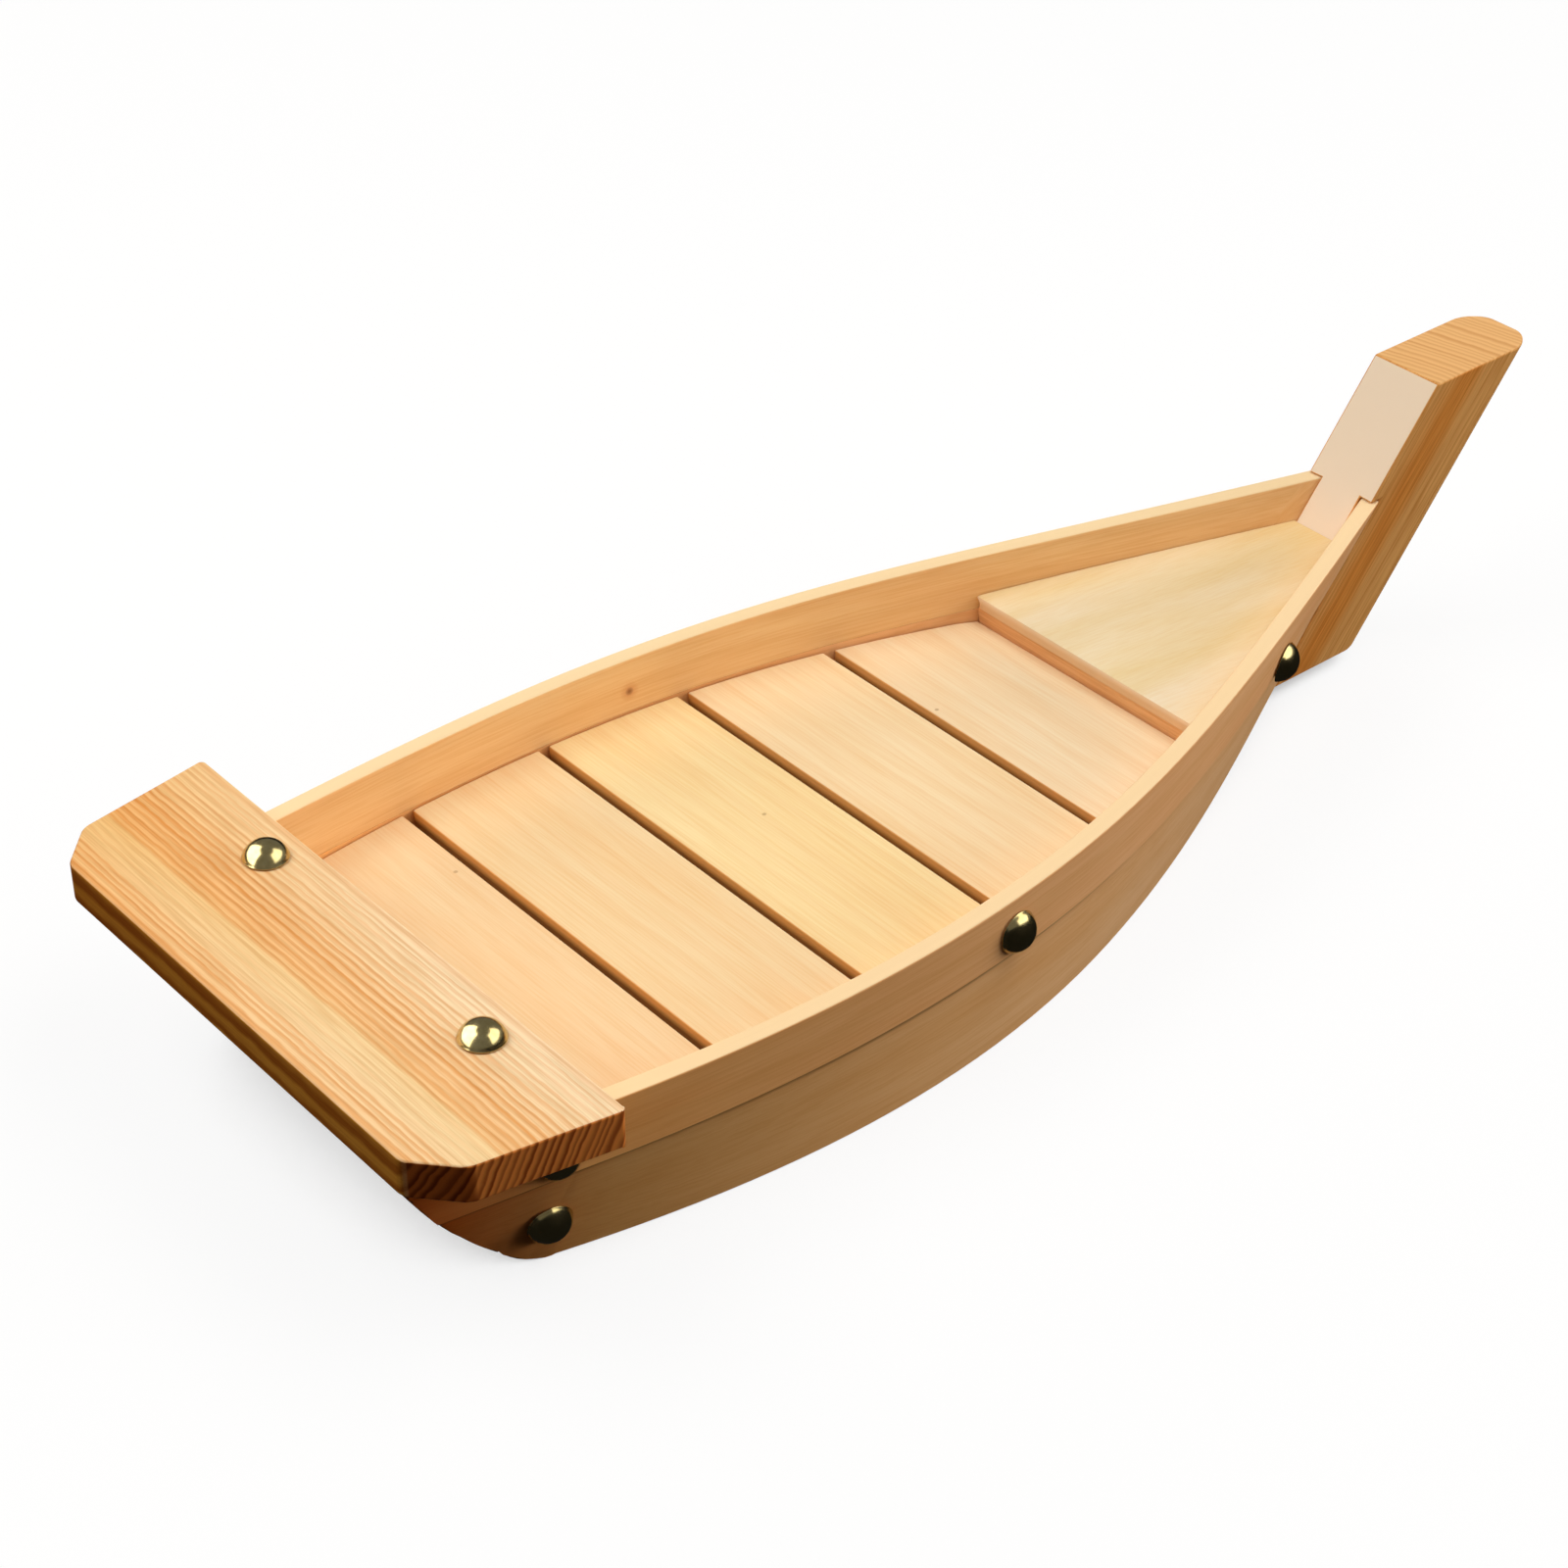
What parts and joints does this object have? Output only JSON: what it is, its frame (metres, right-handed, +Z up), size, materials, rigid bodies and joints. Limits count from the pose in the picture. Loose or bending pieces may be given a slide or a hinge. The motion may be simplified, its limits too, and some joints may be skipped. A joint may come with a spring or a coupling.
{
  "type": "sushi boat",
  "caption": "Wooden boat-shaped serving dish with a slatted floor, raised bow deck, raked stem post, stern plank and domed brass tacks.",
  "frame": {"origin": "under the middle of the boat's length and width, on the table", "axes": "+X towards the bow, +Y to port, +Z up"},
  "size_m": [0.432, 0.17, 0.082],
  "materials": {
    "plank_pine": "clear satin lacquer on pine",
    "stern_pine": "satin, strong straight grain",
    "floor_wood": "satin, pale fine grain",
    "deck_ply": "satin, pale thin board",
    "stem_pine": "satin, grain along the rake",
    "hidden_pine": "raw sawn",
    "tack_brass": "polished"
  },
  "bodies": {
    "root": {"stern_plank": "stern_pine", "stem_post": "stem_pine", "strake_port": "plank_pine", "strake_starboard": "plank_pine", "side_plank_port": "plank_pine", "side_plank_starboard": "plank_pine", "transom": "hidden_pine", "floor_slat_1": "floor_wood", "floor_slat_2": "floor_wood", "floor_slat_3": "floor_wood", "floor_slat_4": "floor_wood", "floor_slat_5": "floor_wood", "floor_bearer_port": "hidden_pine", "floor_bearer_starboard": "hidden_pine", "floor_frame_aft": "hidden_pine", "floor_frame_fore": "hidden_pine", "bow_deck": "deck_ply", "bow_bulkhead": "floor_wood", "tack_stern_plank_port": "tack_brass", "tack_stern_plank_starboard": "tack_brass", "tack_transom_upper_port": "tack_brass", "tack_transom_upper_starboard": "tack_brass", "tack_transom_lower_port": "tack_brass", "tack_transom_lower_starboard": "tack_brass", "tack_mid_port": "tack_brass", "tack_mid_starboard": "tack_brass", "tack_bow_port": "tack_brass", "tack_bow_starboard": "tack_brass"}
  },
  "joints": []
}
